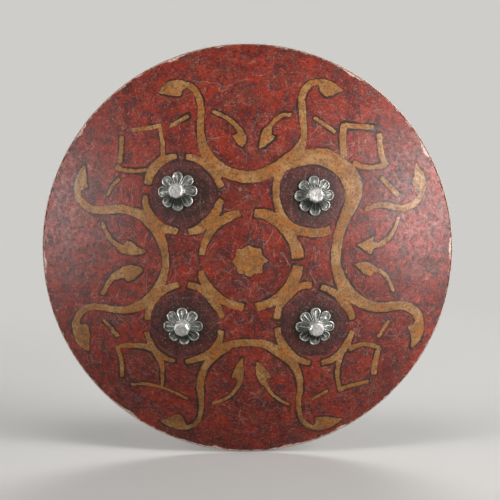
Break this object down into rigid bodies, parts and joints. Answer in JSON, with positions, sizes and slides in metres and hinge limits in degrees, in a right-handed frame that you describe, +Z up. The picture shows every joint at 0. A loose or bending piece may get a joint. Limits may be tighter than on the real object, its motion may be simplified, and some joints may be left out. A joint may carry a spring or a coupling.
{
  "type": "dhal shield",
  "caption": "Round domed hide shield with flower bosses, painted arabesques, and two ringed grips over a knuckle cushion at the back.",
  "frame": {"origin": "middle of the hand's hold: midway between the middles of the two grips, on the dome's axis", "axes": "+Z up as the shield is carried, -Y out of the domed front, +Y out of the hollow back towards the bearer"},
  "size_m": [0.5, 0.0783, 0.5],
  "materials": {
    "painted_hide": "satin lacquer with painted ochre ornament",
    "dark_pewter": "cast, dark in the recesses, rubbed bright on the rims",
    "bright_steel": "hammered and polished",
    "iron": "forged, blackened",
    "grip_leather": "waxed, stitched along the back",
    "whipping_cord": "twisted cord",
    "pad_cloth": "velvet pile with piping",
    "base_leather": "undyed, rubbed"
  },
  "bodies": {
    "shield": {"shield_body": "painted_hide", "pad_base": "base_leather", "knuckle_pad": "pad_cloth", "upper_left_boss": "dark_pewter", "upper_left_knob": "bright_steel", "upper_left_washer": "iron", "upper_left_ring_bolt": "iron", "upper_right_boss": "dark_pewter", "upper_right_knob": "bright_steel", "upper_right_washer": "iron", "upper_right_ring_bolt": "iron", "lower_left_boss": "dark_pewter", "lower_left_knob": "bright_steel", "lower_left_washer": "iron", "lower_left_ring_bolt": "iron", "lower_right_boss": "dark_pewter", "lower_right_knob": "bright_steel", "lower_right_washer": "iron", "lower_right_ring_bolt": "iron"},
    "left_upper_ring": {"upper_left_ring": "iron"},
    "left_lower_ring": {"lower_left_ring": "iron"},
    "left_grip": {"left_grip": "grip_leather", "left_grip_upper_whipping": "whipping_cord", "left_grip_lower_whipping": "whipping_cord"},
    "right_upper_ring": {"upper_right_ring": "iron"},
    "right_lower_ring": {"lower_right_ring": "iron"},
    "right_grip": {"right_grip": "grip_leather", "right_grip_upper_whipping": "whipping_cord", "right_grip_lower_whipping": "whipping_cord"}
  },
  "joints": [
    {"name": "left_ring_swing", "type": "hinge", "parent": "shield", "child": "left_upper_ring", "pos_m": [-0.07908, -0.03188, 0.07282], "axis": [-0.0359, -0.0039, 0.9993], "range_deg": [0, 100]},
    {"name": "left_lower_ring_swing", "type": "hinge", "parent": "shield", "child": "left_lower_ring", "pos_m": [-0.07354, -0.03128, -0.08174], "axis": [-0.0359, -0.0039, 0.9993], "range_deg": [0, 100]},
    {"name": "left_grip_pivot", "type": "hinge", "parent": "left_upper_ring", "child": "left_grip", "pos_m": [-0.05328, -0.02036, -0.00359], "axis": [-0.0359, -0.0039, 0.9993], "range_deg": [0, 45]},
    {"name": "right_ring_swing", "type": "hinge", "parent": "shield", "child": "right_upper_ring", "pos_m": [0.07595, -0.03316, 0.06823], "axis": [0.0096, 0.0172, -0.9998], "range_deg": [0, 100]},
    {"name": "right_lower_ring_swing", "type": "hinge", "parent": "shield", "child": "right_lower_ring", "pos_m": [0.0774, -0.03058, -0.08198], "axis": [0.0096, 0.0172, -0.9998], "range_deg": [0, 100]},
    {"name": "right_grip_pivot", "type": "hinge", "parent": "right_upper_ring", "child": "right_grip", "pos_m": [0.05364, -0.02061, -0.0069], "axis": [0.0096, 0.0172, -0.9998], "range_deg": [0, 45]}
  ],
  "couplings": [
    {"joint": "left_lower_ring_swing", "follows": "left_ring_swing", "ratio": 1},
    {"joint": "right_lower_ring_swing", "follows": "right_ring_swing", "ratio": 1}
  ]
}
